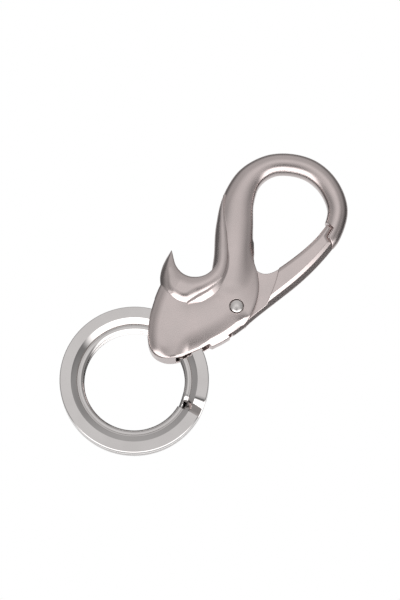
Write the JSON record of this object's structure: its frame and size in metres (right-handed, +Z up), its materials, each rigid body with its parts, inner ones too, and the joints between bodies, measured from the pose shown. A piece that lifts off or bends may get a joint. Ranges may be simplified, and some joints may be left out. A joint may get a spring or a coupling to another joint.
{
  "type": "snap hook with belt hook and split key ring",
  "caption": "Cast snap hook: a sprung gate closes its loop, a crescent belt hook is on its side, and a flat split key ring turns in its lower eye.",
  "frame": {"origin": "the inner top of the loop, in the middle of its depth, where the hook hangs on a bar or a strap", "axes": "+Z up along the hook towards the top of its loop, +X towards the gate, -Y towards the front face"},
  "size_m": [0.0316, 0.009, 0.0782],
  "materials": {
    "satin_nickel": "satin nickel plate on a die casting",
    "polished_nickel": "polished rivet head",
    "spring_steel": "drawn spring wire",
    "chrome_wire": "bright plated wire"
  },
  "bodies": {
    "hook": {"hook_body": "satin_nickel", "pivot_pin": "polished_nickel", "gate_spring": "spring_steel"},
    "gate": {"gate": "satin_nickel"},
    "ring": {"key_ring": "chrome_wire"}
  },
  "joints": [
    {"name": "gate_pivot", "type": "hinge", "parent": "hook", "child": "gate", "pos_m": [0.0056, 0, -0.0321], "axis": [0, -1, 0], "range_deg": [0, 28], "stiffness_Nm_per_rad": 0.05, "springref_deg": -22.92, "deforming": ["gate_spring"]},
    {"name": "ring_spin", "type": "hinge", "parent": "hook", "child": "ring", "pos_m": [-0.0011, 0, -0.0579], "axis": [0, -1, 0], "continuous": true}
  ]
}
